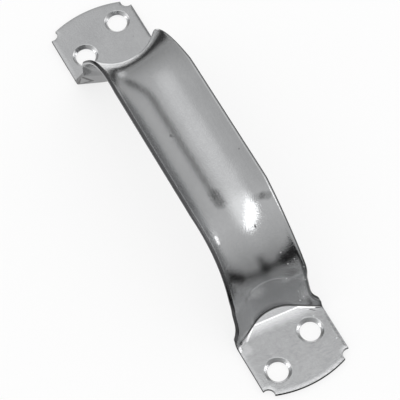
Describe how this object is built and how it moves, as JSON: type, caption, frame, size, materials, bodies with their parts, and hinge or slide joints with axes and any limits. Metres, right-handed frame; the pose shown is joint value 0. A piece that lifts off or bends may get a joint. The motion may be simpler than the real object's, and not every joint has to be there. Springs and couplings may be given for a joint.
{
  "type": "door pull",
  "caption": "Stamped sheet-metal door pull: a tall dished bow bent up between two flat end plates with countersunk screw holes.",
  "frame": {"origin": "centre of the outline on the door face: mid-length, mid-width, on the flat backs of the two screw plates", "axes": "+X along the length, from one screw plate to the other; +Y across the strip; +Z out from the door, towards the hand"},
  "size_m": [0.165, 0.032, 0.0386],
  "materials": {
    "zinc_plated_steel": "bright zinc plating over smooth pressed sheet steel"
  },
  "bodies": {
    "root": {"door_pull": "zinc_plated_steel"}
  },
  "joints": []
}
